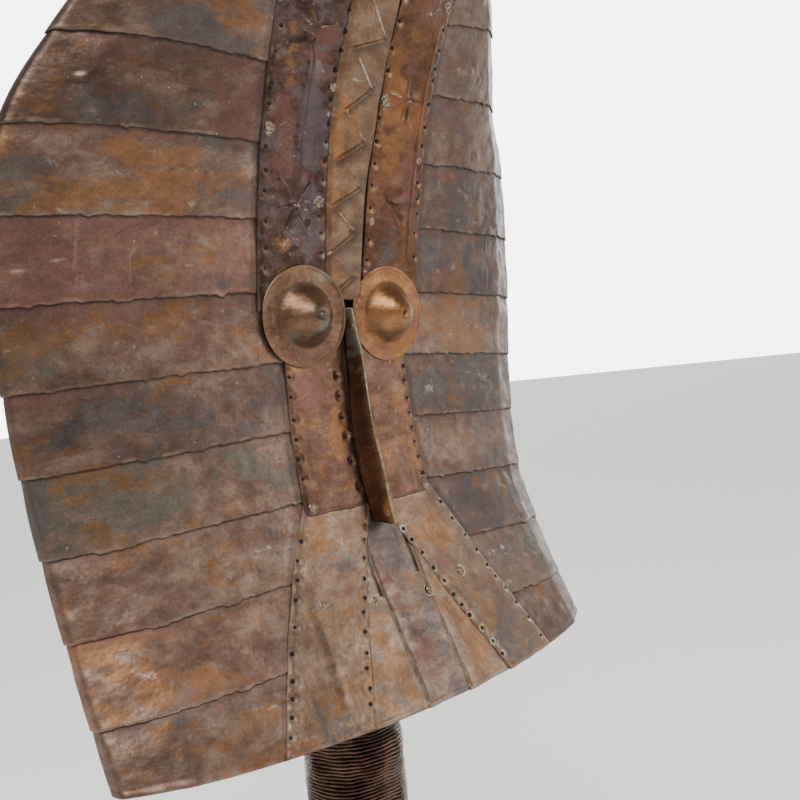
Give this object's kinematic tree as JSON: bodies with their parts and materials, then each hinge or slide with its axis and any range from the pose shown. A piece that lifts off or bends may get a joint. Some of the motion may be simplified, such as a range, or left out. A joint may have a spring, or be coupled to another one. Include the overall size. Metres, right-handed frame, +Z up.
{
  "type": "reliquary guardian figure",
  "caption": "Abstract guardian head: a tall concave wooden shield clad in lapped copper sheets and bands, with boss eyes and a blade nose, on a wire-bound neck and openwork stand.",
  "frame": {"origin": "centre of the foot's underside, straight below the neck", "axes": "+Z up along the neck, the face looks along -Y, +X to the right when seen from the front"},
  "size_m": [0.3016, 0.1743, 0.596],
  "materials": {
    "wood": "dry, dark, hand-carved",
    "wing_copper": "old copper sheet with brown, slate and orange patina",
    "band_copper": "beaten copper band, reddish brown, rubbed",
    "zigzag_copper": "beaten copper, golden brown, raised zigzag",
    "fan_copper": "copper sheet, ochre and grey patina",
    "nose_copper": "folded copper, dark flanks, rubbed ridge",
    "eye_copper": "domed copper discs, golden brown",
    "neck_wire": "close-wound copper wire, nearly black",
    "leg_copper": "dull copper sheet, grey-brown"
  },
  "bodies": {
    "root": {"carved_wood_core": "wood", "zigzag_strip": "zigzag_copper", "nose_blade": "nose_copper", "neck_wire_wrap": "neck_wire", "left_wing_sheet_01": "wing_copper", "left_wing_sheet_02": "wing_copper", "left_wing_sheet_03": "wing_copper", "left_wing_sheet_04": "wing_copper", "left_wing_sheet_05": "wing_copper", "left_wing_sheet_06": "wing_copper", "left_wing_sheet_07": "wing_copper", "left_wing_sheet_08": "wing_copper", "left_wing_sheet_09": "wing_copper", "left_wing_sheet_10": "wing_copper", "left_wing_sheet_11": "wing_copper", "left_wing_sheet_12": "wing_copper", "left_wing_sheet_13": "wing_copper", "right_wing_sheet_01": "wing_copper", "right_wing_sheet_02": "wing_copper", "right_wing_sheet_03": "wing_copper", "right_wing_sheet_04": "wing_copper", "right_wing_sheet_05": "wing_copper", "right_wing_sheet_06": "wing_copper", "right_wing_sheet_07": "wing_copper", "right_wing_sheet_08": "wing_copper", "right_wing_sheet_09": "wing_copper", "right_wing_sheet_10": "wing_copper", "right_wing_sheet_11": "wing_copper", "right_wing_sheet_12": "wing_copper", "right_wing_sheet_13": "wing_copper", "left_forehead_band": "band_copper", "right_forehead_band": "band_copper", "left_cheek_band": "band_copper", "right_cheek_band": "band_copper", "left_chin_band": "band_copper", "right_chin_band": "band_copper", "chin_fan_left": "fan_copper", "chin_fan_middle": "fan_copper", "chin_fan_right": "fan_copper", "left_eye_disc": "eye_copper", "right_eye_disc": "eye_copper", "front_leg_sheet": "leg_copper", "back_leg_sheet": "leg_copper"}
  },
  "joints": []
}
